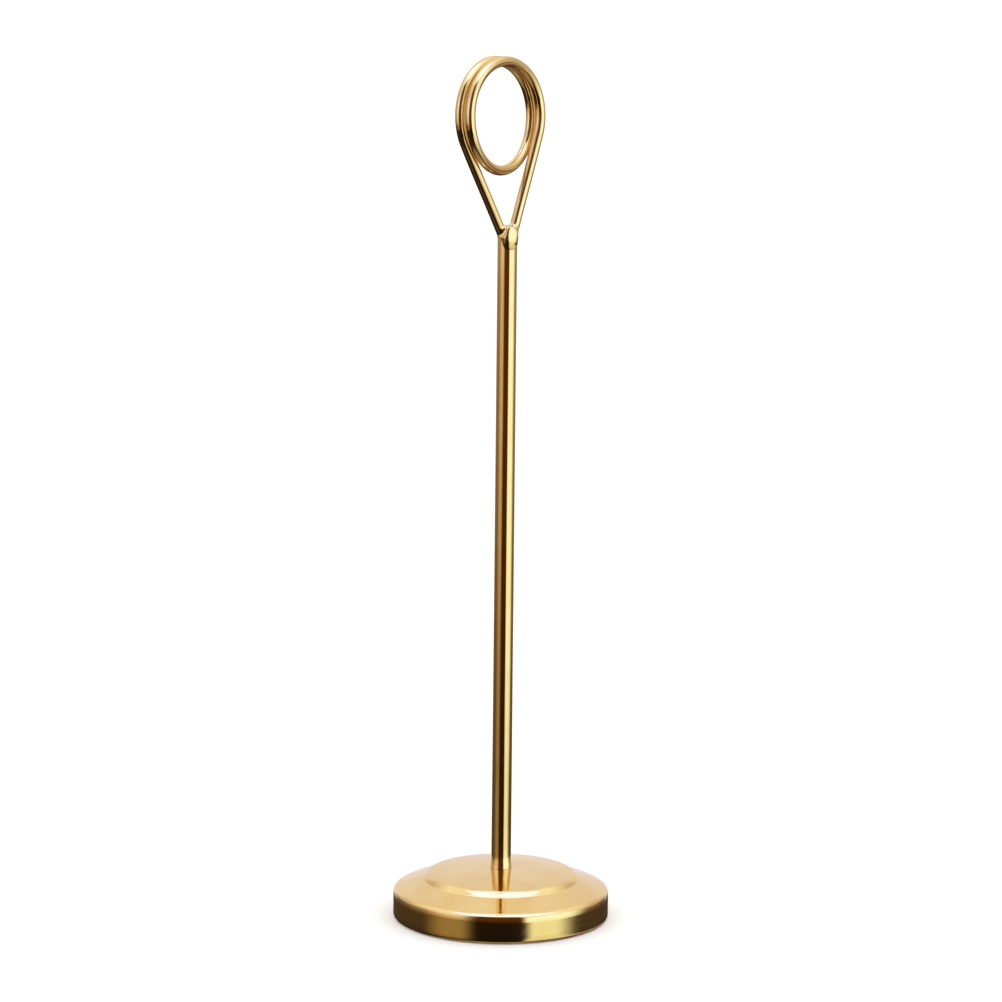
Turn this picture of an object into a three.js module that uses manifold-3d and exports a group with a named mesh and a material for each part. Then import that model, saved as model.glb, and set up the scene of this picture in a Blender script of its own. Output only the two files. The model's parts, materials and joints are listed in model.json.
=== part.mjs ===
// A table number holder: a weighted round base, a slim tube for a stem, and a clip wound from one
// length of spring wire, which grips a number card between its turns.
//
// Millimetres, +Z up. The origin is on the table, at the centre of the base. The clip faces -Y,
// and its turns lie one behind the other along Y.

import * as THREE from "three";
import Module from "manifold-3d";
import { mergeVertices } from "three/addons/utils/BufferGeometryUtils.js";

// ---- driving dimensions ----

const HEIGHT = 300;
const BASE_RADIUS = 37.25;
const TUBE_RADIUS = 3.4;
const WIRE_RADIUS = 1.75;

const FACE_GAP = 0.3; // between faces that touch on the real object
const ROUND_GAP = 0.05; // between a round piece and the bore that holds it
const BASE_SIDES = 48;
const STEM_SIDES = 24;

// ---- the base: a stamped cover over an iron weight, on a foam pad ----

const SHEET = 0.8;
const RIM_Z = 0.3;
const HEM_RADIUS = 1.0;
const HEM_INNER_RADIUS = 34.9;
const WALL_TOP_Z = 9.6;
const SHOULDER = { radius: 34.7, z: 10.5 };
const STEP_FOOT = { radius: 27.9, z: 14.0 };
const STEP_RIM = { radius: 24.8, z: 15.6 };
const SEAT = { radius: 4.4, z: 17.4 }; // the flat that the stem stands on

const WEIGHT_CLEARANCE = 0.4;
const WEIGHT_EDGE = 1;
const WEIGHT_FLOOR_Z = RIM_Z + SHEET + FACE_GAP;
const PAD_RADIUS = HEM_INNER_RADIUS - 1.2;
const PAD_THICKNESS = WEIGHT_FLOOR_Z - FACE_GAP;

// ---- the stem ----

const TUBE_BORE = 2.7;
const TUBE_FOOT_Z = SEAT.z + ROUND_GAP;
const TUBE_FLARE = { radius: 3.7, height: 4.4 };
const TUBE_EDGE = 0.5;
const THREADED_PLUG_LENGTH = 11;
const END_PLUG_LENGTH = 8;

// ---- the screw that holds the stem down, up from under the weight ----

const SCREW = { radius: 2, length: 23, point: 0.5 };
const SCREW_HOLE = 2.3;
const SCREW_HEAD = { radius: 4, side: 1.3, height: 2.4 };
const CROSS_RECESS = { length: 4.4, width: 0.9, depth: 1.5 };
const LOCK_WASHER = { inner: 2.1, outer: 3.7, thickness: 1, slit: 0.7 };
const FLAT_WASHER = { inner: 2.15, outer: 5, thickness: 0.9 };
const COUNTERBORE_RADIUS = 6.5;

const SCREW_SEAT_Z = WEIGHT_FLOOR_Z + SCREW_HEAD.height + FACE_GAP;
const LOCK_WASHER_Z = SCREW_SEAT_Z + FACE_GAP;
const FLAT_WASHER_Z = LOCK_WASHER_Z + LOCK_WASHER.thickness + FACE_GAP;
const COUNTERBORE_TOP_Z = FLAT_WASHER_Z + FLAT_WASHER.thickness + FACE_GAP;

// ---- the clip ----

const COIL_RADIUS = 18.5;
const COIL_TAPER = 0.2; // the rear turn is larger by this much, and the front one smaller
const COIL_CENTRE_UP = 40.45; // from the feet of the legs to the centre of the coil
const TURN_OFFSET = 2.2; // how far each turn lies behind or in front of the clip's middle plane
const LEG_FOOT = { x: 1.2, y: 1.55 };
const LEAN = THREE.MathUtils.degToRad(5); // the whole clip leans back
const CUT_IN_WIRE = 0.3; // left out at the bottom of the coil, where the clip springs open
const WIRE_SIDES = 12;
const WIRE_STEPS = 42;
const BEAD = { x: 2.9, y: 2.9, z: 2.6, up: 1.1 };

const CLIP_TOP_UP =
  (COIL_CENTRE_UP + COIL_RADIUS + COIL_TAPER) * Math.cos(LEAN) - TURN_OFFSET * Math.sin(LEAN) + WIRE_RADIUS;
const CLIP_FOOT_Z = HEIGHT - CLIP_TOP_UP;
const TUBE_TOP_Z = CLIP_FOOT_Z - FACE_GAP;

// ---- materials ----

const gold = new THREE.MeshStandardMaterial({ color: 0xd9a94e, roughness: 0.12, metalness: 1 });
const castIron = new THREE.MeshStandardMaterial({ color: 0x4a4846, roughness: 0.75, metalness: 0.6 });
const zincSteel = new THREE.MeshStandardMaterial({ color: 0xb4b6b8, roughness: 0.35, metalness: 1 });
const blackFoam = new THREE.MeshStandardMaterial({ color: 0x1b1b1c, roughness: 0.95, metalness: 0 });

// ---- solids ----

const wasm = await Module();
wasm.setup();

function toSolid(geometry) {
  const bare = geometry.clone();
  bare.deleteAttribute("normal");
  bare.deleteAttribute("uv");
  const merged = mergeVertices(bare, 1e-4);
  const vertProperties = merged.attributes.position.array;
  const triVerts = new Uint32Array(merged.index.array);
  return new wasm.Manifold(new wasm.Mesh({ numProp: 3, vertProperties, triVerts }));
}

function toGeometry(solid) {
  const mesh = solid.getMesh();
  const geometry = new THREE.BufferGeometry();
  geometry.setAttribute("position", new THREE.BufferAttribute(mesh.vertProperties, 3));
  geometry.setIndex(new THREE.BufferAttribute(mesh.triVerts, 1));
  geometry.computeVertexNormals();
  return geometry;
}

function cut(geometry, ...tools) {
  const solid = tools.reduce((rest, tool) => rest.subtract(toSolid(tool)), toSolid(geometry));
  return toGeometry(solid);
}

// A turned piece. Its outline is a list of [radius, z], which starts and ends on the axis or
// closes on itself.
function turned(outline, sides) {
  const points = outline.map(([radius, z]) => new THREE.Vector2(radius, z));
  return new THREE.LatheGeometry(points, sides).rotateX(Math.PI / 2);
}

function tube(inner, outer, bottom, height, sides) {
  const outline = [
    [inner, bottom],
    [outer, bottom],
    [outer, bottom + height],
    [inner, bottom + height],
    [inner, bottom],
  ];
  return turned(outline, sides);
}

function rod(radius, bottom, height, sides) {
  const outline = [
    [0, bottom],
    [radius, bottom],
    [radius, bottom + height],
    [0, bottom + height],
  ];
  return turned(outline, sides);
}

// A quarter of an ellipse between two points of an outline: upright at [r0, z0], level at [r1, z1].
function quarterRound(r0, z0, r1, z1, steps) {
  const points = [];
  for (let i = 0; i <= steps; i += 1) {
    const angle = (Math.PI / 2) * (i / steps);
    points.push([r1 + (r0 - r1) * Math.cos(angle), z0 + (z1 - z0) * Math.sin(angle)]);
  }
  return points;
}

const mix = (a, b, t) => a + (b - a) * t;
const easeBoth = (t) => t * t * (3 - 2 * t);
const easeOut = (t) => 1 - (1 - t) ** 2;

// ---- the base ----

// A stretch of outline from one { radius, z } to another, without its first point.
function stretch(from, to, steps, rise) {
  const points = [];
  for (let i = 1; i <= steps; i += 1) {
    const t = i / steps;
    points.push([mix(from.radius, to.radius, t), mix(from.z, to.z, rise(t))]);
  }
  return points;
}

// The cover's outer face, from the foot of its wall to the hole for the screw: a rounded shoulder,
// a straight slope, a soft step, a low crown, and the seat of the stem.
function coverOutline(steps) {
  return [
    [BASE_RADIUS, RIM_Z + HEM_RADIUS],
    ...quarterRound(BASE_RADIUS, WALL_TOP_Z, SHOULDER.radius, SHOULDER.z, steps),
    ...stretch(SHOULDER, STEP_FOOT, 1, (t) => t),
    ...stretch(STEP_FOOT, STEP_RIM, steps, easeBoth),
    ...stretch(STEP_RIM, SEAT, steps, easeOut),
    [SCREW_HOLE, SEAT.z],
  ];
}

// An outline moved inwards by one distance all along.
function movedInwards(outline, distance) {
  return outline.map(([radius, z], i) => {
    if (i === outline.length - 1) return [radius, z - distance];
    const [r0, z0] = outline[Math.max(i - 1, 0)];
    const [r1, z1] = outline[i + 1];
    const length = Math.hypot(r1 - r0, z1 - z0);
    return [radius - (distance * (z1 - z0)) / length, z + (distance * (r1 - r0)) / length];
  });
}

// One stamped sheet, whose bottom edge is rolled in under the weight as a hem.
function baseCover() {
  const outside = coverOutline(4);
  const inside = movedInwards(outside, SHEET);
  const rollCentre = BASE_RADIUS - HEM_RADIUS;
  const roll = quarterRound(BASE_RADIUS, RIM_Z + HEM_RADIUS, rollCentre, RIM_Z, 3).reverse();
  const outline = [
    [HEM_INNER_RADIUS, RIM_Z],
    ...roll,
    ...outside.slice(1),
    ...inside.slice(1).reverse(),
    [BASE_RADIUS - SHEET, RIM_Z + SHEET],
    [HEM_INNER_RADIUS, RIM_Z + SHEET],
    [HEM_INNER_RADIUS, RIM_Z],
  ];
  return turned(outline, BASE_SIDES);
}

// The weight fills the cover. A counterbore from below takes the screw's head and washers.
function baseWeight() {
  const top = movedInwards(coverOutline(2), SHEET + WEIGHT_CLEARANCE).slice(1);
  const side = BASE_RADIUS - SHEET - WEIGHT_CLEARANCE;
  const outline = [
    [COUNTERBORE_RADIUS, WEIGHT_FLOOR_Z],
    [side - WEIGHT_EDGE, WEIGHT_FLOOR_Z],
    [side, WEIGHT_FLOOR_Z + WEIGHT_EDGE],
    ...top,
    [SCREW_HOLE, COUNTERBORE_TOP_Z],
    [COUNTERBORE_RADIUS, COUNTERBORE_TOP_Z],
    [COUNTERBORE_RADIUS, WEIGHT_FLOOR_Z],
  ];
  return turned(outline, BASE_SIDES);
}

function footPad() {
  return rod(PAD_RADIUS, 0, PAD_THICKNESS, BASE_SIDES);
}

// ---- the stem ----

// The tube flares a little at its foot, and its top edge is rounded off.
function stemTube() {
  const flareTop = TUBE_FOOT_Z + TUBE_FLARE.height;
  const outline = [
    [TUBE_BORE, TUBE_FOOT_Z],
    [TUBE_FLARE.radius, TUBE_FOOT_Z],
    [mix(TUBE_FLARE.radius, TUBE_RADIUS, 0.6), mix(TUBE_FOOT_Z, flareTop, 0.5)],
    [TUBE_RADIUS, flareTop],
    ...quarterRound(TUBE_RADIUS, TUBE_TOP_Z - TUBE_EDGE, TUBE_RADIUS - TUBE_EDGE, TUBE_TOP_Z, 2),
    [TUBE_BORE, TUBE_TOP_Z],
    [TUBE_BORE, TUBE_FOOT_Z],
  ];
  return turned(outline, STEM_SIDES);
}

// Pressed into the foot of the tube, and tapped for the screw.
function threadedPlug() {
  const inner = SCREW.radius + ROUND_GAP;
  return tube(inner, TUBE_BORE - ROUND_GAP, TUBE_FOOT_Z + FACE_GAP, THREADED_PLUG_LENGTH, STEM_SIDES);
}

// Pressed into the top of the tube, as the seat that the clip is brazed to.
function endPlug() {
  return rod(TUBE_BORE - ROUND_GAP, TUBE_TOP_Z - END_PLUG_LENGTH, END_PLUG_LENGTH, STEM_SIDES);
}

// ---- the screw and its washers ----

// A pan-head screw with a cross recess. It stands on its head.
function stemScrew() {
  const headBottom = SCREW_SEAT_Z - SCREW_HEAD.height;
  const headSide = SCREW_SEAT_Z - SCREW_HEAD.side;
  const tip = SCREW_SEAT_Z + SCREW.length;
  const outline = [
    ...quarterRound(SCREW_HEAD.radius, headSide, 0, headBottom, 4).reverse(),
    [SCREW_HEAD.radius, SCREW_SEAT_Z],
    [SCREW.radius, SCREW_SEAT_Z],
    [SCREW.radius, tip - SCREW.point],
    [SCREW.radius - SCREW.point, tip],
    [0, tip],
  ];
  const { length, width, depth } = CROSS_RECESS;
  const slots = [new THREE.BoxGeometry(length, width, 2 * depth), new THREE.BoxGeometry(width, length, 2 * depth)];
  slots.forEach((slot) => slot.translate(0, 0, headBottom));
  return cut(turned(outline, STEM_SIDES), ...slots);
}

// A split ring.
function lockWasher() {
  const { inner, outer, thickness, slit } = LOCK_WASHER;
  const blank = tube(inner, outer, LOCK_WASHER_Z, thickness, STEM_SIDES);
  const saw = new THREE.BoxGeometry(outer, slit, 3 * thickness);
  saw.rotateX(THREE.MathUtils.degToRad(25));
  saw.translate((inner + outer) / 2, 0, LOCK_WASHER_Z + thickness / 2);
  return cut(blank, saw);
}

function flatWasher() {
  return tube(FLAT_WASHER.inner, FLAT_WASHER.outer, FLAT_WASHER_Z, FLAT_WASHER.thickness, STEM_SIDES);
}

// ---- the clip ----

// The line of the wire, in a frame of its own that stands upright on the feet of the legs. It goes
// up the rear leg, on the left, over the top in the rear plane, across to the front plane around
// the bottom, over the top again, and down the front leg, on the right.
class ClipLine extends THREE.Curve {
  constructor() {
    super();
    this.rearRadius = COIL_RADIUS + COIL_TAPER;
    this.frontRadius = COIL_RADIUS - COIL_TAPER;
    this.rearSlope = this.legSlope(this.rearRadius);
    this.frontSlope = this.legSlope(this.frontRadius);
    this.rearLeg = this.legLength(this.rearRadius);
    this.frontLeg = this.legLength(this.frontRadius);
    this.sweep = 3 * Math.PI + this.rearSlope + this.frontSlope;
    this.length = this.rearLeg + this.sweep * COIL_RADIUS + this.frontLeg;
  }

  // A leg's angle from upright where it meets a turn of this radius at a tangent.
  legSlope(radius) {
    const reach = Math.hypot(LEG_FOOT.x, COIL_CENTRE_UP);
    return Math.asin(radius / reach) - Math.atan2(LEG_FOOT.x, COIL_CENTRE_UP);
  }

  legLength(radius) {
    return Math.sqrt(LEG_FOOT.x ** 2 + COIL_CENTRE_UP ** 2 - radius ** 2);
  }

  // A point of a leg, at a distance up from its foot. The rear leg is on the left.
  onRearLeg(up) {
    const y = mix(LEG_FOOT.y, TURN_OFFSET, easeBoth(Math.max(up, 0) / this.rearLeg));
    return new THREE.Vector3(-LEG_FOOT.x - up * Math.sin(this.rearSlope), y, up * Math.cos(this.rearSlope));
  }

  onFrontLeg(up) {
    const y = -mix(LEG_FOOT.y, TURN_OFFSET, easeBoth(Math.max(up, 0) / this.frontLeg));
    return new THREE.Vector3(LEG_FOOT.x + up * Math.sin(this.frontSlope), y, up * Math.cos(this.frontSlope));
  }

  // A point of the coil, with the angle turned since the rear leg.
  onCoil(turnedBy) {
    const angle = Math.PI + this.rearSlope - turnedBy;
    const aroundBottom = THREE.MathUtils.clamp(-angle, 0, Math.PI);
    const towardsFront = (1 - Math.cos(aroundBottom)) / 2;
    const radius = mix(this.rearRadius, this.frontRadius, towardsFront);
    const y = mix(TURN_OFFSET, -TURN_OFFSET, towardsFront);
    return new THREE.Vector3(radius * Math.cos(angle), y, COIL_CENTRE_UP + radius * Math.sin(angle));
  }

  getPoint(t) {
    const along = t * this.length;
    const left = this.length - along;
    if (along < this.rearLeg) return this.onRearLeg(along);
    if (left < this.frontLeg) return this.onFrontLeg(left);
    return this.onCoil((along - this.rearLeg) / COIL_RADIUS);
  }

  // Where the line passes the bottom of the coil, as a share of its length.
  bottom() {
    return (this.rearLeg + (1.5 * Math.PI + this.rearSlope) * COIL_RADIUS) / this.length;
  }
}

// A part of another curve.
class PartOfLine extends THREE.Curve {
  constructor(line, from, to) {
    super();
    Object.assign(this, { line, from, to });
  }

  getPoint(t) {
    return this.line.getPoint(mix(this.from, this.to, t));
  }
}

function wireAlong(line) {
  const corners = [];
  for (let i = 0; i < WIRE_SIDES; i += 1) {
    const angle = (2 * Math.PI * i) / WIRE_SIDES;
    corners.push(new THREE.Vector2(WIRE_RADIUS * Math.cos(angle), WIRE_RADIUS * Math.sin(angle)));
  }
  const section = new THREE.Shape(corners);
  return new THREE.ExtrudeGeometry(section, { steps: WIRE_STEPS, bevelEnabled: false, extrudePath: line });
}

const clipLine = new ClipLine();
const bottomOfCoil = clipLine.bottom();
const halfCut = CUT_IN_WIRE / 2 / clipLine.length;

// The legs are ground off level, so that they stand flat on the stem.
const groundOff = new THREE.BoxGeometry(20, 20, 10).translate(0, 0, -5).rotateX(LEAN);

function rearWire() {
  return cut(wireAlong(new PartOfLine(clipLine, 0, bottomOfCoil - halfCut)), groundOff);
}

function frontWire() {
  return cut(wireAlong(new PartOfLine(clipLine, bottomOfCoil + halfCut, 1)), groundOff);
}

// A round tool that clears one leg by the face gap.
function legGroove(start, end) {
  const radius = WIRE_RADIUS + FACE_GAP;
  const groove = new THREE.CylinderGeometry(radius, radius, start.distanceTo(end), WIRE_SIDES);
  const direction = end.clone().sub(start).normalize();
  groove.applyQuaternion(new THREE.Quaternion().setFromUnitVectors(new THREE.Vector3(0, 1, 0), direction));
  const middle = start.clone().lerp(end, 0.5);
  return groove.translate(middle.x, middle.y, middle.z);
}

// The filler metal that joins the feet of the legs to each other and to the stem.
function brazeBead() {
  const bead = new THREE.SphereGeometry(1, 16, 10).scale(BEAD.x, BEAD.y, BEAD.z).translate(0, 0, BEAD.up);
  const below = -4;
  const above = 9;
  const rearGroove = legGroove(clipLine.onRearLeg(below), clipLine.onRearLeg(above));
  const frontGroove = legGroove(clipLine.onFrontLeg(below), clipLine.onFrontLeg(above));
  return cut(bead, groundOff, rearGroove, frontGroove);
}

// ---- assembly ----

function piece(name, geometry, material) {
  const mesh = new THREE.Mesh(geometry, material);
  mesh.name = name;
  return mesh;
}

const base = new THREE.Group();
base.add(
  piece("base_cover", baseCover(), gold),
  piece("base_weight", baseWeight(), castIron),
  piece("foot_pad", footPad(), blackFoam),
);

const stem = new THREE.Group();
stem.add(
  piece("stem_tube", stemTube(), gold),
  piece("threaded_plug", threadedPlug(), zincSteel),
  piece("end_plug", endPlug(), zincSteel),
  piece("stem_screw", stemScrew(), zincSteel),
  piece("lock_washer", lockWasher(), zincSteel),
  piece("flat_washer", flatWasher(), zincSteel),
);

const clip = new THREE.Group();
clip.position.z = CLIP_FOOT_Z;
clip.rotation.x = -LEAN;
clip.add(
  piece("clip_wire_rear", rearWire(), gold),
  piece("clip_wire_front", frontWire(), gold),
  piece("braze_bead", brazeBead(), gold),
);

const holder = new THREE.Group();
holder.add(base, stem, clip);

export default holder;
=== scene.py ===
"""The looks of a polished gold table number holder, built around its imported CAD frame.

Lengths are in metres. The frame's origin is on the table under the stem, +Z is up, and the clip
faces -Y. Every gold piece is rebuilt here as a fine mesh, because a mirror finish shows each facet.
"""

import json
import math

import bmesh
import bpy
import numpy as np
from mathutils import Matrix, Vector


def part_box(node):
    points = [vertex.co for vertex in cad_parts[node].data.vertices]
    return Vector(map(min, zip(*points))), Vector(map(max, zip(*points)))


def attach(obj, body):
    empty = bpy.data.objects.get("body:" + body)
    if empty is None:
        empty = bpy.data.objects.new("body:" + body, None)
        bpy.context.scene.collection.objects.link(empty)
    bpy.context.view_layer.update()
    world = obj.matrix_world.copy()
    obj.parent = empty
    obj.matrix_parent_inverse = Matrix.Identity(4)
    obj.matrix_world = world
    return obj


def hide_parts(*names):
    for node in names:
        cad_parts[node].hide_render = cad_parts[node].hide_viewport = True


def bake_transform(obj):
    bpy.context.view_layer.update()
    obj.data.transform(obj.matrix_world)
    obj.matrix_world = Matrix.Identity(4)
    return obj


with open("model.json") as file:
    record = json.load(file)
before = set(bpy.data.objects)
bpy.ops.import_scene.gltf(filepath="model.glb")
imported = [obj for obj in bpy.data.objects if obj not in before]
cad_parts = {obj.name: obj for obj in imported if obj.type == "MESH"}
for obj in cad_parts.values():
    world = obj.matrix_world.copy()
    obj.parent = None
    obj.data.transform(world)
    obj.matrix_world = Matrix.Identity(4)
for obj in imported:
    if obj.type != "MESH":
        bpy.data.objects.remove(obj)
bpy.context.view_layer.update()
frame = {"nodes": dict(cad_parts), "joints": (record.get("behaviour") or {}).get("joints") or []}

MM = 0.001

# ---- sizes from the frame ----

COVER_LOW, COVER_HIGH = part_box("base_cover")
TUBE_LOW, TUBE_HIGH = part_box("stem_tube")
PAD_LOW, PAD_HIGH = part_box("foot_pad")
GRIP = frame["joints"][0]

BASE_RADIUS = COVER_HIGH.x
RIM_Z = COVER_LOW.z
SEAT_Z = COVER_HIGH.z  # the flat that the stem stands on
CLIP_FOOT_Z = GRIP["pos_m"][2]
PAD_RADIUS = PAD_HIGH.x

# ---- the cover, with points of its outline as (radius, z) ----

SHEET = 0.8 * MM
HEM_RADIUS = 1.0 * MM
HEM_INNER_RADIUS = 34.9 * MM
WALL_ROWS = (3.0 * MM, 5.0 * MM, 6.5 * MM)
WALL_SPRING_Z = 7.4 * MM  # above this the wall leans in by a few degrees
WALL_TOP = (37.166 * MM, 9.278 * MM)
CORNER_BEND = (37.131 * MM, 9.671 * MM)  # where the lines of the wall and the shoulder cross
CORNER = (36.82 * MM, 9.92 * MM)
SHOULDER = (34.7 * MM, 11.0 * MM)
STEP_FOOT = (27.2 * MM, 14.03 * MM)
STEP_RIM = (25.1 * MM, 15.55 * MM)
CROWN_EDGE = (24.3 * MM, 15.8 * MM)
SEAT_RADIUS = 4.4 * MM
SCREW_HOLE = 2.3 * MM
CORNER_SLOPE = 0.80  # slopes are rise over run, going in
SLOPE = 0.404
STEP_FOOT_SLOPE = 0.95
STEP_RIM_SLOPE = 0.50
CROWN_SLOPE = 0.17

# ---- the stem ----

TUBE_RADIUS = 3.4 * MM
TUBE_BORE = 2.7 * MM
FLARE_HEIGHT = 4.4 * MM
FLARE_CURVE = 1.6  # 1 would be a straight cone
TUBE_EDGE = 0.5 * MM  # the round at the stem's top

# ---- the foot pad ----

PAD_EDGE = 0.25 * MM
PAD_SIDES = 192

# ---- the clip ----

WIRE_RADIUS = 1.75 * MM
COIL_RADIUS = 18.5 * MM
COIL_TAPER = 0.08 * MM  # the rear turn is this much larger, and the front one this much smaller
COIL_CENTRE_UP = 40.28 * MM  # above the foot of the clip, before it leans back
TURN_OFFSET = 2.2 * MM  # from the middle of the clip to the centre line of each turn
LEG_FOOT_X = 1.1 * MM
LEG_FOOT_Y = 1.43 * MM
LEAN = math.radians(5)
WIRE_SINK = 0.3 * MM  # how far the legs' feet go on into the bead
CROSSING_FROM, CROSSING_TO = math.radians(-20), math.radians(-160)  # on the coil, from +X upwards

LATHE_SIDES = 256
TUBE_SIDES = 128
WIRE_SIDES = 40
RING_SPACING = 0.45 * MM  # between the rings of points along the wire


# ---- mesh helpers ----

def new_object(name, mesh):
    piece = bpy.data.objects.new(name, mesh)
    bpy.context.scene.collection.objects.link(piece)
    return piece


def mesh_from(name, points, faces, smooth=True):
    mesh = bpy.data.meshes.new(name)
    mesh.from_pydata([tuple(p) for p in points], [], faces)
    mesh.validate()
    mesh.polygons.foreach_set("use_smooth", [smooth] * len(mesh.polygons))
    return mesh


def sharpen(mesh, degrees):
    """Marks the edges that turn by more than this as sharp, so that flats meet rounds cleanly."""
    work = bmesh.new()
    work.from_mesh(mesh)
    bmesh.ops.recalc_face_normals(work, faces=work.faces)
    for edge in work.edges:
        if len(edge.link_faces) == 2 and edge.calc_face_angle(0) > math.radians(degrees):
            edge.smooth = False
    work.to_mesh(mesh)
    work.free()


def turned(name, outline, sides=LATHE_SIDES, sharp=40):
    """A turned piece. The outline is a closed list of (radius, z); a radius of 0 is on the axis."""
    points, rows = [], []
    for radius, z in outline:
        if radius < 1e-9:
            rows.append([len(points)] * sides)
            points.append((0, 0, z))
            continue
        rows.append(list(range(len(points), len(points) + sides)))
        for i in range(sides):
            angle = 2 * math.pi * i / sides
            points.append((radius * math.cos(angle), radius * math.sin(angle), z))
    faces = []
    for row, following in zip(rows, rows[1:] + rows[:1]):
        for i in range(sides):
            j = (i + 1) % sides
            corners = [row[i], row[j], following[j], following[i]]
            unique = list(dict.fromkeys(corners))
            if len(unique) > 2:
                faces.append(unique)
    mesh = mesh_from(name, points, faces)
    sharpen(mesh, sharp)
    return new_object(name, mesh)


def quarter_round(start, end, steps):
    """A quarter of an ellipse that is upright at start and level at end, both (radius, z)."""
    (r0, z0), (r1, z1) = start, end
    angles = [math.pi / 2 * i / steps for i in range(steps + 1)]
    return [(r1 + (r0 - r1) * math.cos(a), z0 + (z1 - z0) * math.sin(a)) for a in angles]


def hermite(start, end, slope_start, slope_end, steps):
    """A smooth stretch of outline that rises inwards, without its first point. Slopes are rise per
    unit of radius."""
    (r0, z0), (r1, z1) = start, end
    run = r0 - r1
    points = []
    for i in range(1, steps + 1):
        t = i / steps
        a = 2 * t ** 3 - 3 * t ** 2 + 1
        b = t ** 3 - 2 * t ** 2 + t
        c = 3 * t ** 2 - 2 * t ** 3
        d = t ** 3 - t ** 2
        points.append((r0 - run * t, a * z0 + b * slope_start * run + c * z1 + d * slope_end * run))
    return points


def leaning_wall(start, end, steps):
    """A wall that starts upright and leans in more and more, without its first point."""
    (r0, z0), (r1, z1) = start, end
    return [(r0 + (r1 - r0) * (i / steps) ** 2, z0 + (z1 - z0) * i / steps)
            for i in range(1, steps + 1)]


def bend(start, middle, end, steps):
    """A smooth bend that leaves start and meets end in line with middle, without its first point."""
    points = []
    for i in range(1, steps + 1):
        t = i / steps
        shares = ((1 - t) ** 2, 2 * t * (1 - t), t ** 2)
        weighted = list(zip(shares, (start, middle, end)))
        points.append(tuple(sum(share * point[k] for share, point in weighted) for k in (0, 1)))
    return points


def moved_inwards(outline, distance):
    """The same outline, moved to its inner side by a distance."""
    moved = []
    for i, (radius, z) in enumerate(outline):
        r0, z0 = outline[max(i - 1, 0)]
        r1, z1 = outline[min(i + 1, len(outline) - 1)]
        length = math.hypot(r1 - r0, z1 - z0)
        moved.append((radius - distance * (z1 - z0) / length, z + distance * (r1 - r0) / length))
    return moved


# ---- materials ----

class Nodes:
    """A short way to write a node tree."""

    def __init__(self, tree):
        self.tree = tree

    def add(self, kind, inputs=(), **settings):
        node = self.tree.nodes.new(kind)
        for name, value in settings.items():
            setattr(node, name, value)
        for name, value in dict(inputs).items():
            self.feed(node.inputs[name], value)
        return node

    def feed(self, socket, value):
        if isinstance(value, bpy.types.NodeSocket):
            self.tree.links.new(value, socket)
        else:
            socket.default_value = value

    def math(self, operation, first, second=0.0, third=0.0):
        values = {0: first, 1: second, 2: third}
        return self.add("ShaderNodeMath", values, operation=operation).outputs[0]

    def mix(self, share, first, second):
        node = self.tree.nodes.new("ShaderNodeMix")
        node.data_type = "RGBA"
        self.feed(node.inputs[0], share)
        self.feed(node.inputs[6], first)
        self.feed(node.inputs[7], second)
        return node.outputs[2]

    def fit(self, value, low, high, to_low=0.0, to_high=1.0, soft=False):
        """A value moved from one range to another, and held within it."""
        kind = "SMOOTHSTEP" if soft else "LINEAR"
        values = {"Value": value, "From Min": low, "From Max": high,
                  "To Min": to_low, "To Max": to_high}
        return self.add("ShaderNodeMapRange", values, interpolation_type=kind).outputs[0]

    def noise(self, vector, scale, detail, roughness):
        values = {"Vector": vector, "Scale": scale, "Detail": detail, "Roughness": roughness}
        return self.add("ShaderNodeTexNoise", values).outputs["Fac"]

    def bump(self, height, distance, strength=1.0, below=None):
        values = {"Height": height, "Distance": distance, "Strength": strength}
        if below is not None:
            values["Normal"] = below
        return self.add("ShaderNodeBump", values).outputs[0]


def rgba(colour):
    return (*colour, 1.0)


def new_material(name):
    material = bpy.data.materials.new(name)
    material.use_nodes = True
    nodes = Nodes(material.node_tree)
    surface = material.node_tree.nodes["Principled BSDF"]
    place = nodes.add("ShaderNodeTexCoord").outputs["Object"]
    return material, nodes, surface, place


GOLD = (0.92, 0.66, 0.27)
GOLD_DEEP = (0.86, 0.56, 0.20)
GOLD_ROUGHNESS = (0.045, 0.13)
CLOUD_SCALE = 70.0  # slow changes in the plating's tone
SWELL_SCALE = 120.0  # the faint waves that polishing leaves
SMUDGE_SCALE = 260.0
SWELL_HEIGHT = 0.010 * MM
MARK_HEIGHT = 0.0012 * MM

FOAM_DARK, FOAM_LIGHT = (0.018, 0.018, 0.019), (0.045, 0.045, 0.047)
IRON_DARK, IRON_LIGHT = (0.045, 0.043, 0.041), (0.13, 0.125, 0.12)
RUST = (0.16, 0.055, 0.02)
ZINC_DARK, ZINC_LIGHT = (0.55, 0.56, 0.58), (0.72, 0.73, 0.74)


def around_axis(nodes, place, along, across):
    """Coordinates for marks that run round the Z axis. A larger along makes them shorter, and a
    larger across makes them finer."""
    parts = nodes.add("ShaderNodeSeparateXYZ", {0: place}).outputs
    radius = nodes.math("SQRT", nodes.math("ADD", nodes.math("MULTIPLY", parts[0], parts[0]),
                                           nodes.math("MULTIPLY", parts[1], parts[1])))
    angle = nodes.math("ARCTAN2", parts[1], parts[0])
    values = {
        0: nodes.math("MULTIPLY", radius, across),
        1: nodes.math("MULTIPLY", angle, along),
        2: nodes.math("MULTIPLY", parts[2], across),
    }
    return nodes.add("ShaderNodeCombineXYZ", values).outputs[0]


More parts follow.
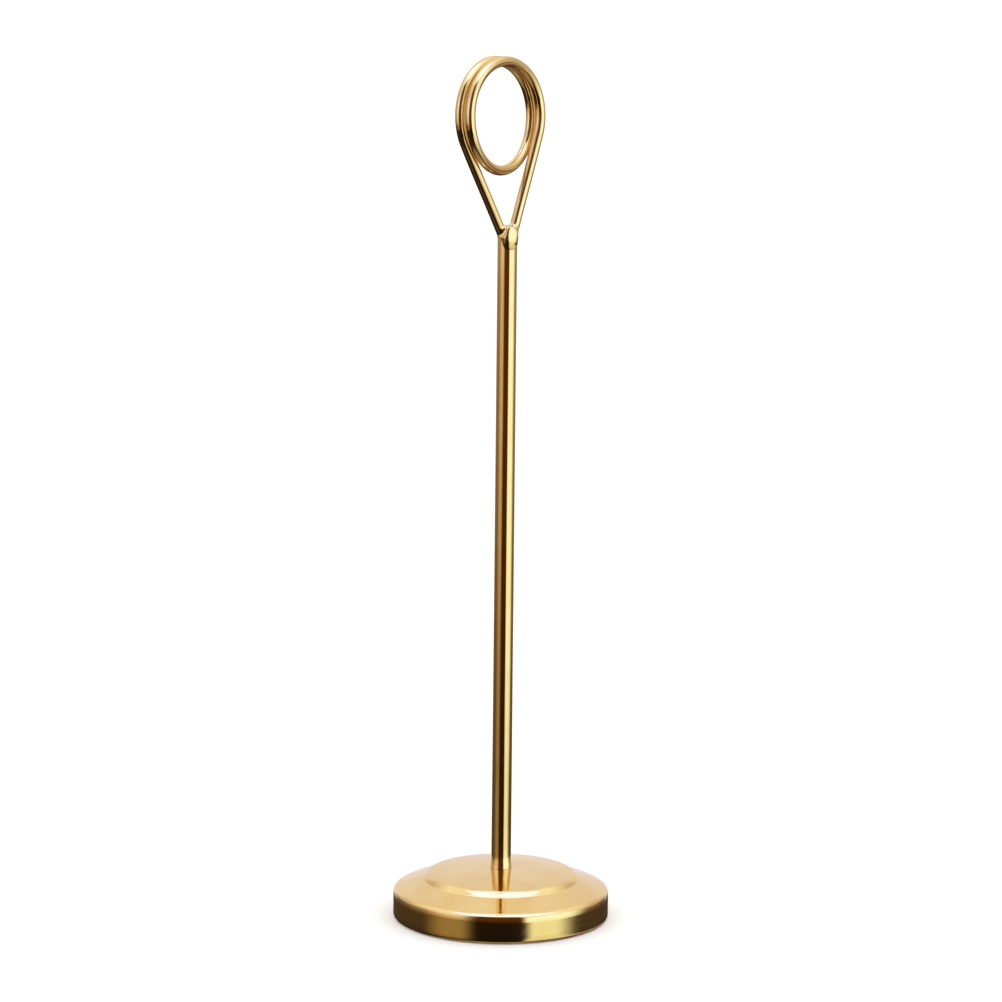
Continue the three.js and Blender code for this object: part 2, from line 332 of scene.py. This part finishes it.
def gold_material(name, marks, mark_scale, roughness=GOLD_ROUGHNESS, swell_height=SWELL_HEIGHT):
    """Mirror-polished gold plating. marks makes the coordinates that the polishing marks follow."""
    material, nodes, surface, place = new_material(name)
    streaks = nodes.noise(marks(nodes, place), mark_scale, 3.0, 0.6)
    cloud = nodes.noise(place, CLOUD_SCALE, 3.0, 0.55)
    smudge = nodes.noise(place, SMUDGE_SCALE, 4.0, 0.6)
    swell = nodes.noise(place, SWELL_SCALE, 1.0, 0.4)
    surface.inputs["Metallic"].default_value = 1.0
    tone = nodes.fit(cloud, 0.30, 0.75)
    nodes.feed(surface.inputs["Base Color"], nodes.mix(tone, rgba(GOLD), rgba(GOLD_DEEP)))
    uneven = nodes.math("ADD", nodes.math("MULTIPLY", streaks, 0.55),
                        nodes.math("MULTIPLY", smudge, 0.45))
    nodes.feed(surface.inputs["Roughness"], nodes.fit(uneven, 0.35, 0.68, *roughness))
    waves = nodes.bump(swell, swell_height)
    nodes.feed(surface.inputs["Normal"], nodes.bump(streaks, MARK_HEIGHT, 0.5, waves))
    return material


def turned_marks(nodes, place):
    """Marks that run round the axis, as a polishing wheel leaves on a spinning piece."""
    return around_axis(nodes, place, along=1.5, across=900.0)


def drawn_marks(nodes, place):
    """Marks that run up the stem, as on drawn tube."""
    return nodes.add("ShaderNodeMapping", {"Vector": place, "Scale": (1.0, 1.0, 0.02)}).outputs[0]


def plain_marks(nodes, place):
    """Marks with no direction."""
    return place


def foam_material():
    """Matt closed-cell foam."""
    material, nodes, surface, place = new_material("black_foam")
    cells = nodes.add("ShaderNodeTexVoronoi", {"Vector": place, "Scale": 2600.0}).outputs["Distance"]
    grain = nodes.noise(place, 900.0, 4.0, 0.7)
    tone = nodes.mix(nodes.fit(grain, 0.3, 0.7), rgba(FOAM_DARK), rgba(FOAM_LIGHT))
    nodes.feed(surface.inputs["Base Color"], tone)
    nodes.feed(surface.inputs["Roughness"], nodes.fit(grain, 0.2, 0.8, 0.78, 0.98))
    nodes.feed(surface.inputs["Normal"], nodes.bump(cells, 0.12 * MM, 0.7))
    return material


def iron_material():
    """Cast iron, rough and a little rusted."""
    material, nodes, surface, place = new_material("cast_iron")
    grain = nodes.noise(place, 700.0, 6.0, 0.65)
    patches = nodes.noise(place, 90.0, 4.0, 0.6)
    grey = nodes.mix(nodes.fit(grain, 0.3, 0.7), rgba(IRON_DARK), rgba(IRON_LIGHT))
    rusted = nodes.mix(nodes.fit(patches, 0.58, 0.72, 0.0, 0.7), grey, rgba(RUST))
    nodes.feed(surface.inputs["Base Color"], rusted)
    surface.inputs["Metallic"].default_value = 0.6
    nodes.feed(surface.inputs["Roughness"], nodes.fit(grain, 0.2, 0.8, 0.55, 0.85))
    nodes.feed(surface.inputs["Normal"], nodes.bump(grain, 0.15 * MM, 0.8))
    return material


def zinc_material():
    """Bright zinc plating on turned steel."""
    material, nodes, surface, place = new_material("zinc_steel")
    marks = nodes.noise(turned_marks(nodes, place), 6.0, 3.0, 0.6)
    spangle = nodes.noise(place, 450.0, 3.0, 0.5)
    tone = nodes.mix(nodes.fit(spangle, 0.3, 0.7), rgba(ZINC_DARK), rgba(ZINC_LIGHT))
    nodes.feed(surface.inputs["Base Color"], tone)
    surface.inputs["Metallic"].default_value = 1.0
    nodes.feed(surface.inputs["Roughness"], nodes.fit(marks, 0.3, 0.7, 0.22, 0.42))
    nodes.feed(surface.inputs["Normal"], nodes.bump(marks, 0.004 * MM, 0.6))
    return material


def dress(piece, material, body, slot_name, *replaced):
    """Gives a new piece its material and its body, and hides the CAD nodes that it stands for. The
    slot name is not used. A piece without a body is left unattached."""
    piece.data.materials.clear()
    piece.data.materials.append(material)
    if body is not None:
        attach(piece, body)
    if replaced:
        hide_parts(*replaced)


# ---- the base ----

def cover_outline():
    """The cover's outer face from the foot of its wall to the edge of the screw hole."""
    outline = [(BASE_RADIUS, RIM_Z + HEM_RADIUS)]
    outline += [(BASE_RADIUS, z) for z in (*WALL_ROWS, WALL_SPRING_Z)]
    outline += leaning_wall((BASE_RADIUS, WALL_SPRING_Z), WALL_TOP, 10)
    outline += bend(WALL_TOP, CORNER_BEND, CORNER, 10)
    outline += hermite(CORNER, SHOULDER, CORNER_SLOPE, SLOPE, 14)
    outline += hermite(SHOULDER, STEP_FOOT, SLOPE, SLOPE, 10)
    outline += hermite(STEP_FOOT, STEP_RIM, STEP_FOOT_SLOPE, STEP_RIM_SLOPE, 20)
    outline += hermite(STEP_RIM, CROWN_EDGE, STEP_RIM_SLOPE, CROWN_SLOPE, 8)
    outline += hermite(CROWN_EDGE, (SEAT_RADIUS, SEAT_Z), CROWN_SLOPE, 0.0, 30)
    outline.append((SCREW_HOLE, SEAT_Z))
    return outline


def base_cover():
    outside = cover_outline()
    inside = moved_inwards(outside, SHEET)
    inside[-1] = (SCREW_HOLE, SEAT_Z - SHEET)
    roll = quarter_round((BASE_RADIUS, RIM_Z + HEM_RADIUS), (BASE_RADIUS - HEM_RADIUS, RIM_Z), 10)
    outline = [(HEM_INNER_RADIUS, RIM_Z + SHEET), (HEM_INNER_RADIUS, RIM_Z)]
    outline += roll[:0:-1]
    outline += outside
    outline += inside[:0:-1]
    outline.append((BASE_RADIUS - SHEET, RIM_Z + SHEET))
    return turned("base_cover_skin", outline)


def foot_pad():
    outline = [(0, PAD_LOW.z), (PAD_RADIUS - PAD_EDGE, PAD_LOW.z)]
    outline += [(PAD_RADIUS, PAD_LOW.z + PAD_EDGE), (PAD_RADIUS, PAD_HIGH.z), (0, PAD_HIGH.z)]
    return turned("foot_pad_foam", outline, PAD_SIDES, sharp=60)


# ---- the stem ----

def stem_tube():
    flare = TUBE_HIGH.x
    flare_top = TUBE_LOW.z + FLARE_HEIGHT
    outline = [(TUBE_BORE, TUBE_LOW.z), (flare, TUBE_LOW.z)]
    for i in range(1, 9):
        t = i / 8
        radius = TUBE_RADIUS + (flare - TUBE_RADIUS) * (1 - t) ** FLARE_CURVE
        outline.append((radius, TUBE_LOW.z + FLARE_HEIGHT * t))
    for i in range(1, 12):
        outline.append((TUBE_RADIUS, flare_top + (TUBE_HIGH.z - TUBE_EDGE - flare_top) * i / 12))
    edge_start = (TUBE_RADIUS, TUBE_HIGH.z - TUBE_EDGE)
    outline += quarter_round(edge_start, (TUBE_RADIUS - TUBE_EDGE, TUBE_HIGH.z), 8)
    outline.append((TUBE_BORE, TUBE_HIGH.z))
    return turned("stem_tube_skin", outline, TUBE_SIDES)


# ---- the clip ----

def lean_back(point):
    """A point of the upright clip, leaned back and lifted to the top of the stem."""
    return Matrix.Rotation(-LEAN, 3, "X") @ Vector(point) + Vector((0, 0, CLIP_FOOT_Z))


class ClipLine:
    """The line of the wire: up the rear leg on the left, one and a half turns, down the front leg."""

    def __init__(self):
        self.radius = {"rear": COIL_RADIUS + COIL_TAPER, "front": COIL_RADIUS - COIL_TAPER}
        reach = math.hypot(LEG_FOOT_X, COIL_CENTRE_UP)
        foot_angle = math.atan2(LEG_FOOT_X, COIL_CENTRE_UP)
        self.slope = {side: math.asin(r / reach) - foot_angle for side, r in self.radius.items()}
        self.leg = {side: math.sqrt(reach ** 2 - r ** 2) for side, r in self.radius.items()}
        self.sweep = 3 * math.pi + self.slope["rear"] + self.slope["front"]
        self.length = self.leg["rear"] + self.sweep * COIL_RADIUS + self.leg["front"]

    def on_leg(self, side, up):
        """A point of a leg, at a distance up from its foot. Below the foot the leg goes straight on."""
        sign = -1 if side == "rear" else 1
        t = max(up, 0) / self.leg[side]
        y = LEG_FOOT_Y + (TURN_OFFSET - LEG_FOOT_Y) * t * t * (3 - 2 * t)
        x = LEG_FOOT_X + up * math.sin(self.slope[side])
        return Vector((sign * x, -sign * y, up * math.cos(self.slope[side])))

    def on_coil(self, angle):
        """A point of the coil. The angle falls from the rear leg to the front one."""
        around_bottom = min(max(-angle, 0), math.pi)
        share = (1 - math.cos(around_bottom)) / 2
        radius = self.radius["rear"] * (1 - share) + self.radius["front"] * share
        y = TURN_OFFSET * (1 - 2 * share)
        return Vector((radius * math.cos(angle), y, COIL_CENTRE_UP + radius * math.sin(angle)))

    def at(self, along):
        remaining = self.length - along
        if along < self.leg["rear"]:
            return self.on_leg("rear", along)
        if remaining < self.leg["front"]:
            return self.on_leg("front", remaining)
        return self.on_coil(math.pi + self.slope["rear"] - (along - self.leg["rear"]) / COIL_RADIUS)

    def along_at(self, angle):
        """How far along the line a point of the coil is."""
        return self.leg["rear"] + (math.pi + self.slope["rear"] - angle) * COIL_RADIUS


CLIP = ClipLine()


def wire(name, start, end):
    """A length of wire with closed ends, from one place along the line to another."""
    count = max(2, round((end - start) / RING_SPACING))
    points, faces = [], []
    step = 0.02 * MM
    for i in range(count + 1):
        along = start + (end - start) * i / count
        centre = CLIP.at(along)
        tangent = (CLIP.at(along + step) - CLIP.at(along - step)).normalized()
        side = tangent.cross(Vector((0, 1, 0))).normalized()
        back = side.cross(tangent)
        for j in range(WIRE_SIDES):
            angle = 2 * math.pi * j / WIRE_SIDES
            outwards = math.cos(angle) * side + math.sin(angle) * back
            points.append(lean_back(centre + WIRE_RADIUS * outwards))
    for i in range(count):
        for j in range(WIRE_SIDES):
            a = i * WIRE_SIDES + j
            b = i * WIRE_SIDES + (j + 1) % WIRE_SIDES
            faces.append((a, b, b + WIRE_SIDES, a + WIRE_SIDES))
    last = count * WIRE_SIDES
    faces.append(tuple(range(WIRE_SIDES))[::-1])
    faces.append(tuple(range(last, last + WIRE_SIDES)))
    mesh = mesh_from(name, points, faces)
    sharpen(mesh, degrees=50)
    return new_object(name, mesh)


# ---- the braze bead ----

BEAD_TOP = TUBE_HIGH.z  # the stem's top face
BEAD_DEPTH = 7.0 * MM  # how far down the stem the metal's mesh goes
BEAD_END = 0.3 * MM  # its blunt lower end, inside the stem, is left as the remesh made it
BEAD_VOXEL = 0.13 * MM
LEG_REACH = 5.0 * MM  # how far up the legs it goes

# The metal fills the foot of the V, and has run down the stem between its front and its left.
RUN_TURN = math.radians(-22)  # from the front
WEB_OUT, WEB_UP = 0.45 * MM, 0.9 * MM
WEB_SIZE = (2.5 * MM, 2.2 * MM, 2.6 * MM)
RUN_OUT, RUN_UP = 2.95 * MM, -0.3 * MM
RUN_SIZE = (2.1 * MM, 0.6 * MM, 3.7 * MM)

# How far from each other two shapes start to run together.
LEGS_BLEND = 1.6 * MM
STEM_BLEND = 0.6 * MM
WEB_BLEND = 1.4 * MM
METAL_BLEND = 1.3 * MM

# The metal's edge lies under the wire and the stem, and sinks further a few millimetres away.
BEAD_SINK = 0.03 * MM
FADE_CENTRE_UP = 0.5 * MM
FADE_FROM = 4.2 * MM
FADE_LENGTH = 2.0 * MM
FADE_SINK = 0.2 * MM


def beside_stem(out, up):
    """A place on the side that the metal has run down, out from the axis and up from the stem's top."""
    return Vector((out * math.sin(RUN_TURN), -out * math.cos(RUN_TURN), BEAD_TOP + up))


WEB_CENTRE = beside_stem(WEB_OUT, WEB_UP)
RUN_CENTRE = beside_stem(RUN_OUT, RUN_UP)


def rod_between(work, start, end, radius):
    """A plain round rod."""
    middle = (start + end) / 2
    turn = (end - start).to_track_quat("Z", "Y").to_matrix().to_4x4()
    bmesh.ops.create_cone(work, cap_ends=True, segments=48, radius1=radius, radius2=radius,
                          depth=(end - start).length, matrix=Matrix.Translation(middle) @ turn)


def drop_in(work, centre, size, turn):
    """An ellipsoid that is turned about the upright."""
    place = Matrix.Translation(centre) @ Matrix.Rotation(turn, 4, "Z") @ Matrix.Diagonal((*size, 1.0))
    bmesh.ops.create_icosphere(work, subdivisions=4, radius=1.0, matrix=place)


def distance_to_rod(points, start, end, radius):
    """Signed distance from points to a round-ended rod, negative inside it."""
    line = end - start
    share = np.clip((points - start) @ line / (line @ line), 0, 1)
    return np.linalg.norm(points - start - share[:, None] * line, axis=1) - radius


def blended(first, second, reach):
    """The smaller of two distances, rounded off where they are within reach of each other."""
    share = np.clip(0.5 + 0.5 * (second - first) / reach, 0, 1)
    return second * (1 - share) + first * share - reach * share * (1 - share)


def distance_to_drop(points, centre, size, turn):
    """Roughly the signed distance from points to an ellipsoid that is turned about the upright."""
    local = (points - np.array(centre)) @ np.array(Matrix.Rotation(turn, 3, "Z"))
    return (np.linalg.norm(local / np.array(size), axis=1) - 1) * min(size)


def distance_to_stem(points):
    """Signed distance to the top of the stem, with its rounded edge."""
    out = np.linalg.norm(points[:, :2], axis=1) - TUBE_RADIUS + TUBE_EDGE
    up = points[:, 2] - BEAD_TOP + TUBE_EDGE
    outside = np.hypot(np.maximum(out, 0), np.maximum(up, 0))
    return outside + np.minimum(np.maximum(out, up), 0) - TUBE_EDGE


def bead_distance(points):
    """Signed distance to the legs, the stem and the two drops, run together as liquid metal runs."""
    low = {side: np.array(lean_back(CLIP.on_leg(side, -WIRE_SINK))) for side in ("rear", "front")}
    high = {side: np.array(lean_back(CLIP.on_leg(side, LEG_REACH))) for side in ("rear", "front")}
    rear, front = (distance_to_rod(points, low[s], high[s], WIRE_RADIUS) for s in ("rear", "front"))
    web = distance_to_drop(points, WEB_CENTRE, WEB_SIZE, RUN_TURN)
    run = distance_to_drop(points, RUN_CENTRE, RUN_SIZE, RUN_TURN)
    legs = blended(blended(rear, front, LEGS_BLEND), distance_to_stem(points), STEM_BLEND)
    whole = blended(legs, blended(web, run, WEB_BLEND), METAL_BLEND)
    away = np.linalg.norm(points - np.array((0, 0, BEAD_TOP + FADE_CENTRE_UP)), axis=1)
    return whole + BEAD_SINK + FADE_SINK * np.clip((away - FADE_FROM) / FADE_LENGTH, 0, 1) ** 2


def pulled_to_bead(points, steps=6):
    """The points, moved step by step along the slope of the distance, until it is near 0."""
    nudge = 0.01 * MM
    for _ in range(steps):
        value = bead_distance(points)
        nudged = [bead_distance(points + step) for step in np.eye(3) * nudge]
        slope = np.stack([(there - value) / nudge for there in nudged], axis=1)
        # where the distance hardly changes, a full step would throw the point too far
        steepness = np.maximum((slope ** 2).sum(axis=1), 0.2)
        points = points - (value / steepness)[:, None] * slope
    return points


def braze_bead():
    """Filler metal that has run round the feet of the legs and over the stem's edge. A rough fused
    shape gives the mesh, and its outside is then pulled to the run-together surface."""
    work = bmesh.new()
    for side in ("rear", "front"):
        low, high = (lean_back(CLIP.on_leg(side, up)) for up in (-WIRE_SINK, LEG_REACH))
        rod_between(work, low, high, WIRE_RADIUS)
    rod_between(work, Vector((0, 0, BEAD_TOP - BEAD_DEPTH)), Vector((0, 0, BEAD_TOP)), TUBE_RADIUS)
    drop_in(work, WEB_CENTRE, WEB_SIZE, RUN_TURN)
    drop_in(work, RUN_CENTRE, RUN_SIZE, RUN_TURN)
    mesh = bpy.data.meshes.new("braze_bead_fused")
    work.to_mesh(mesh)
    work.free()
    bead = new_object("braze_bead_fused", mesh)
    remesh = bead.modifiers.new("fuse", "REMESH")
    remesh.mode = "VOXEL"
    remesh.voxel_size = BEAD_VOXEL
    smooth = bead.modifiers.new("run", "SMOOTH")
    smooth.factor = 0.5
    smooth.iterations = 8
    evaluated = bead.evaluated_get(bpy.context.evaluated_depsgraph_get())
    fused = bpy.data.meshes.new_from_object(evaluated)
    bead.modifiers.clear()
    bead.data = fused
    points = np.empty(len(fused.vertices) * 3)
    fused.vertices.foreach_get("co", points)
    points = points.reshape(-1, 3)
    outside = points[:, 2] > BEAD_TOP - BEAD_DEPTH + BEAD_END
    points[outside] = pulled_to_bead(points[outside])
    fused.vertices.foreach_set("co", points.ravel())
    fused.polygons.foreach_set("use_smooth", [True] * len(fused.polygons))
    return bead


# ---- the stage: floor, light and camera ----

CAMERA_AZIMUTH = -50.3
CAMERA_REACH = 2.0  # from the stem's axis, over the table
CAMERA_HEIGHT = 0.5605
CAMERA_PITCH = 11.68
CAMERA_YAW = 0.037
CAMERA_ROLL = 0.58
CAMERA_LENS_MM = 214.3


def set_camera():
    """A long lens in front of the holder and to its left, which looks down a little."""
    data = bpy.data.cameras.new("camera")
    data.lens = CAMERA_LENS_MM
    data.sensor_width = 36.0
    data.clip_start, data.clip_end = 0.05, 50.0
    camera = bpy.data.objects.new("camera", data)
    bpy.context.scene.collection.objects.link(camera)
    azimuth = math.radians(CAMERA_AZIMUTH)
    camera.location = (CAMERA_REACH * math.sin(azimuth), -CAMERA_REACH * math.cos(azimuth),
                       CAMERA_HEIGHT)
    heading = Matrix.Rotation(azimuth + math.radians(CAMERA_YAW), 3, "Z")
    tilt = Matrix.Rotation(math.radians(90 - CAMERA_PITCH), 3, "X")
    roll = Matrix.Rotation(math.radians(CAMERA_ROLL), 3, "Z")
    camera.rotation_euler = (heading @ tilt @ roll).to_euler()
    bpy.context.scene.camera = camera


# The studio round the table, as it shows in the gold. Bearings are in degrees from the camera, to
# its right, so 180 is behind the holder. Rises are in degrees above level. A shade is (rise, colour).

ROOM = [  # side walls that darken towards the table, the table below them, and the bright ceiling
    (-90, (0.45, 0.38, 0.33)), (-60, (0.30, 0.25, 0.22)), (-48, (0.030, 0.022, 0.020)),
    (-20, (0.035, 0.027, 0.022)), (-15.5, (0.065, 0.048, 0.035)),
    (-12.5, (0.17, 0.12, 0.09)), (-9, (0.32, 0.27, 0.24)), (0, (0.50, 0.45, 0.46)),
    (15, (0.63, 0.58, 0.60)), (30, (0.66, 0.63, 0.68)), (42, (0.92, 0.95, 1.02)),
    (50, (1.05, 1.15, 1.25)), (60, (1.04, 1.14, 1.30)), (72, (1.0, 1.08, 1.30)),
    (80, (1.25, 1.50, 2.70)),
]
SWEEP = [  # the pale background behind the holder
    (-13, (0.78, 0.73, 0.74)), (-8, (0.86, 0.84, 0.90)), (30, (0.86, 0.87, 0.98)),
    (60, (0.93, 0.95, 1.10)),
]
LEFT_CARD = [  # a pale card
    (-18, (0.34, 0.26, 0.13)), (-15, (0.34, 0.27, 0.15)), (-13.7, (0.28, 0.19, 0.09)),
    (-12, (0.54, 0.43, 0.30)), (-9, (0.74, 0.66, 0.56)), (-4, (0.84, 0.80, 0.80)),
    (8, (1.03, 1.05, 1.45)), (25, (1.12, 1.20, 1.80)), (40, (0.86, 0.85, 1.25)),
]
RIGHT_BOX = [  # a large soft light
    (-38, (0.44, 0.36, 0.40)), (-26, (0.80, 0.86, 1.05)), (-17.5, (0.90, 0.98, 0.78)),
    (-15.3, (0.98, 1.12, 1.08)), (-12.5, (1.10, 1.35, 1.50)), (-9, (1.18, 1.50, 1.90)),
    (0, (1.12, 1.45, 1.90)), (20, (1.12, 1.45, 2.20)), (50, (1.02, 1.27, 1.85)),
]
CAMERA_SIDE = [  # the dark of the room round the camera
    (-90, (0.40, 0.34, 0.29)), (-60, (0.24, 0.20, 0.17)), (-48, (0.030, 0.015, 0.006)),
    (-17, (0.011, 0.010, 0.008)), (-15, (0.014, 0.010, 0.007)),
    (-12.5, (0.055, 0.020, 0.004)), (-9, (0.105, 0.033, 0.006)), (0, (0.09, 0.032, 0.008)),
    (15, (0.12, 0.065, 0.025)), (45, (0.10, 0.065, 0.035)),
]
TABLE_GLOW = [  # light from the box on the table
    (-46, (0.18, 0.13, 0.13)), (-36, (0.32, 0.25, 0.26)), (-25, (0.40, 0.33, 0.31)),
    (-19, (0.42, 0.34, 0.31)),
]
OVERHEAD = [(0, (1.22, 1.65, 3.6))]  # the light above the table
BRIGHTEST = 3.6  # a colour ramp holds values up to 1, so shades are stored as shares of this
FILL_LIGHT = 1.25  # the even white light that falls on everything that isn't a mirror


def shade(nodes, rise, stops):
    """A colour that changes with the rise, between the stops."""
    ramp = nodes.add("ShaderNodeValToRGB", {0: nodes.fit(rise, -90.0, 90.0)})
    elements = ramp.color_ramp.elements
    while len(elements) > 1:
        elements.remove(elements[0])
    for i, (degrees, colour) in enumerate(stops):
        position = (degrees + 90) / 180
        element = elements[0] if i == 0 else elements.new(position)
        element.position = position
        element.color = rgba([c / BRIGHTEST for c in colour])
    return ramp.outputs[0]


def between(nodes, value, start, end):
    """1 between two soft edges and 0 outside them. An edge is (where it begins, where it is done)."""
    enter = nodes.fit(value, *start, soft=True)
    leave = nodes.fit(value, *end, 1.0, 0.0, soft=True)
    return nodes.math("MULTIPLY", enter, leave)


def studio_colour(nodes):
    """The shade of the studio in each direction: the room, and the cards and lights in front of it."""
    direction = nodes.add("ShaderNodeTexCoord").outputs["Generated"]
    turn = {"Vector": direction, "Rotation": (0, 0, -math.radians(CAMERA_AZIMUTH))}
    turned_direction = nodes.add("ShaderNodeMapping", turn).outputs[0]
    right, away, up = nodes.add("ShaderNodeSeparateXYZ", {0: turned_direction}).outputs
    bearing = nodes.math("MULTIPLY", nodes.math("ARCTAN2", right, nodes.math("MULTIPLY", away, -1.0)),
                         math.degrees(1))
    rise = nodes.math("MULTIPLY", nodes.math("ARCSINE", up), math.degrees(1))
    off_camera = nodes.math("ABSOLUTE", bearing)
    # the right-hand box is narrower near the table, and the side by the camera leans away at its top
    near_table = between(nodes, rise, (-22.0, -17.0), (-15.0, -13.5))
    lean = nodes.fit(rise, 20.0, 36.0, 0.0, 28.0, soft=True)
    near_side = nodes.math("SUBTRACT", nodes.math("MULTIPLY_ADD", near_table, -6.0, bearing), lean)
    far_side = nodes.math("MULTIPLY_ADD", near_table, 16.0, bearing)
    box = nodes.math("MULTIPLY", nodes.fit(near_side, 19.0, 31.0, soft=True),
                     nodes.fit(far_side, 74.0, 108.0, 1.0, 0.0, soft=True))
    across = nodes.math("DIVIDE", right, up)
    along = nodes.math("DIVIDE", away, up)
    behind = between(nodes, off_camera, (142.0, 158.0), (181.0, 182.0))
    left = between(nodes, bearing, (-95.0, -62.0), (-42.0, -16.0))
    glow = between(nodes, bearing, (60.0, 80.0), (140.0, 165.0))
    camera_side = between(nodes, bearing, (-47.0, -22.0), (20.0, 29.0))
    cards = [  # each with its sides, the soft edges at its foot and its top, and its shades
        (behind, (-15.2, -12.6), (62.0, 70.0), SWEEP),
        (left, (-22.0, -18.0), (52.0, 62.0), LEFT_CARD),
        (glow, (-60.0, -40.0), (-21.0, -18.0), TABLE_GLOW),
        (box, (-46.0, -28.0), (56.0, 66.0), RIGHT_BOX),
        (camera_side, (-91.0, -90.5), (60.0, 68.0), CAMERA_SIDE),
    ]
    room = shade(nodes, rise, ROOM)
    for sides, low, high, stops in cards:
        share = nodes.math("MULTIPLY", sides, between(nodes, rise, low, high))
        room = nodes.mix(share, room, shade(nodes, rise, stops))
    over = nodes.math("MULTIPLY", between(nodes, across, (-0.46, -0.36), (0.44, 0.56)),
                      between(nodes, along, (-0.50, -0.40), (0.28, 0.40)))
    over = nodes.math("MULTIPLY", over, nodes.fit(up, 0.4, 0.6))
    return nodes.mix(over, room, shade(nodes, rise, OVERHEAD))


def set_light():
    """Mirror surfaces see the studio, and everything else gets an even white light."""
    world = bpy.data.worlds.new("studio")
    world.use_nodes = True
    world.cycles.sampling_method = "NONE"
    bpy.context.scene.world = world
    tree = world.node_tree
    tree.nodes.clear()
    nodes = Nodes(tree)
    studio = nodes.add("ShaderNodeBackground", {"Color": studio_colour(nodes), "Strength": BRIGHTEST})
    plain = nodes.add("ShaderNodeBackground", {"Color": rgba((1.0, 1.0, 1.0)), "Strength": FILL_LIGHT})
    is_mirror = nodes.add("ShaderNodeLightPath").outputs["Is Glossy Ray"]
    blend = nodes.add("ShaderNodeMixShader", {0: is_mirror, 1: plain.outputs[0], 2: studio.outputs[0]})
    output = nodes.add("ShaderNodeOutputWorld")
    tree.links.new(blend.outputs[0], output.inputs[0])


FLOOR_HALF = 6.0
FLOOR_DARK, FLOOR_LIGHT = (0.90, 0.90, 0.90), (0.94, 0.94, 0.94)


def set_floor():
    """A plain pale floor. The gold doesn't mirror it, so that what shows in the gold is the room."""
    corners = [(x * FLOOR_HALF, y * FLOOR_HALF, 0) for x, y in ((-1, -1), (1, -1), (1, 1), (-1, 1))]
    floor = new_object("floor", mesh_from("floor", corners, [(0, 1, 2, 3)], smooth=False))
    material, nodes, surface, place = new_material("pale_floor")
    grain = nodes.noise(place, 3.0, 2.0, 0.5)
    tone = nodes.mix(grain, rgba(FLOOR_DARK), rgba(FLOOR_LIGHT))
    nodes.feed(surface.inputs["Base Color"], tone)
    surface.inputs["Roughness"].default_value = 1.0
    surface.inputs["Specular IOR Level"].default_value = 0.0
    floor.data.materials.append(material)
    floor.visible_glossy = False


# ---- making it all ----

set_camera()
set_light()
set_floor()

base_gold = gold_material("gold_turned", turned_marks, mark_scale=5.0)
stem_gold = gold_material("gold_drawn", drawn_marks, mark_scale=2600.0)
wire_gold = gold_material("gold_wire", plain_marks, mark_scale=900.0)
bead_gold = gold_material("gold_braze", plain_marks, mark_scale=700.0, roughness=(0.06, 0.16),
                          swell_height=0.02 * MM)
foam = foam_material()
iron = iron_material()
zinc = zinc_material()

dress(base_cover(), base_gold, "stand", "polished_gold", "base_cover")
pad = foot_pad()
dress(pad, foam, "stand", "black_foam", "foot_pad")
dress(stem_tube(), stem_gold, "stand", "polished_gold", "stem_tube")
dress(braze_bead(), bead_gold, "stand", "polished_gold", "braze_bead")

# The crossing at the bottom of the coil twists when the clip opens, so it is a piece of its own,
# cut off on each side where the wire hardly leaves the plane of its turn.
crossing_start, crossing_end = CLIP.along_at(CROSSING_FROM), CLIP.along_at(CROSSING_TO)
wire_start, wire_end = -WIRE_SINK, CLIP.length + WIRE_SINK

rear = wire("clip_wire_rear_skin", wire_start, crossing_start)
front = wire("clip_wire_front_skin", crossing_end, wire_end)
crossing = wire("clip_wire_crossing", crossing_start, crossing_end)
dress(rear, wire_gold, "stand", "polished_gold", "clip_wire_rear")
dress(front, wire_gold, "clip_front", "polished_gold", "clip_wire_front")
dress(crossing, wire_gold, None, "polished_gold")
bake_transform(crossing)

# The pieces inside the base and the stem stay as they are in CAD.
INSIDE = {
    "base_weight": iron,
    "threaded_plug": zinc,
    "end_plug": zinc,
    "stem_screw": zinc,
    "lock_washer": zinc,
    "flat_washer": zinc,
}
for node, material in INSIDE.items():
    piece = frame["nodes"][node]
    piece.data.materials.clear()
    piece.data.materials.append(material)

bpy.context.scene.view_settings.view_transform = "Standard"
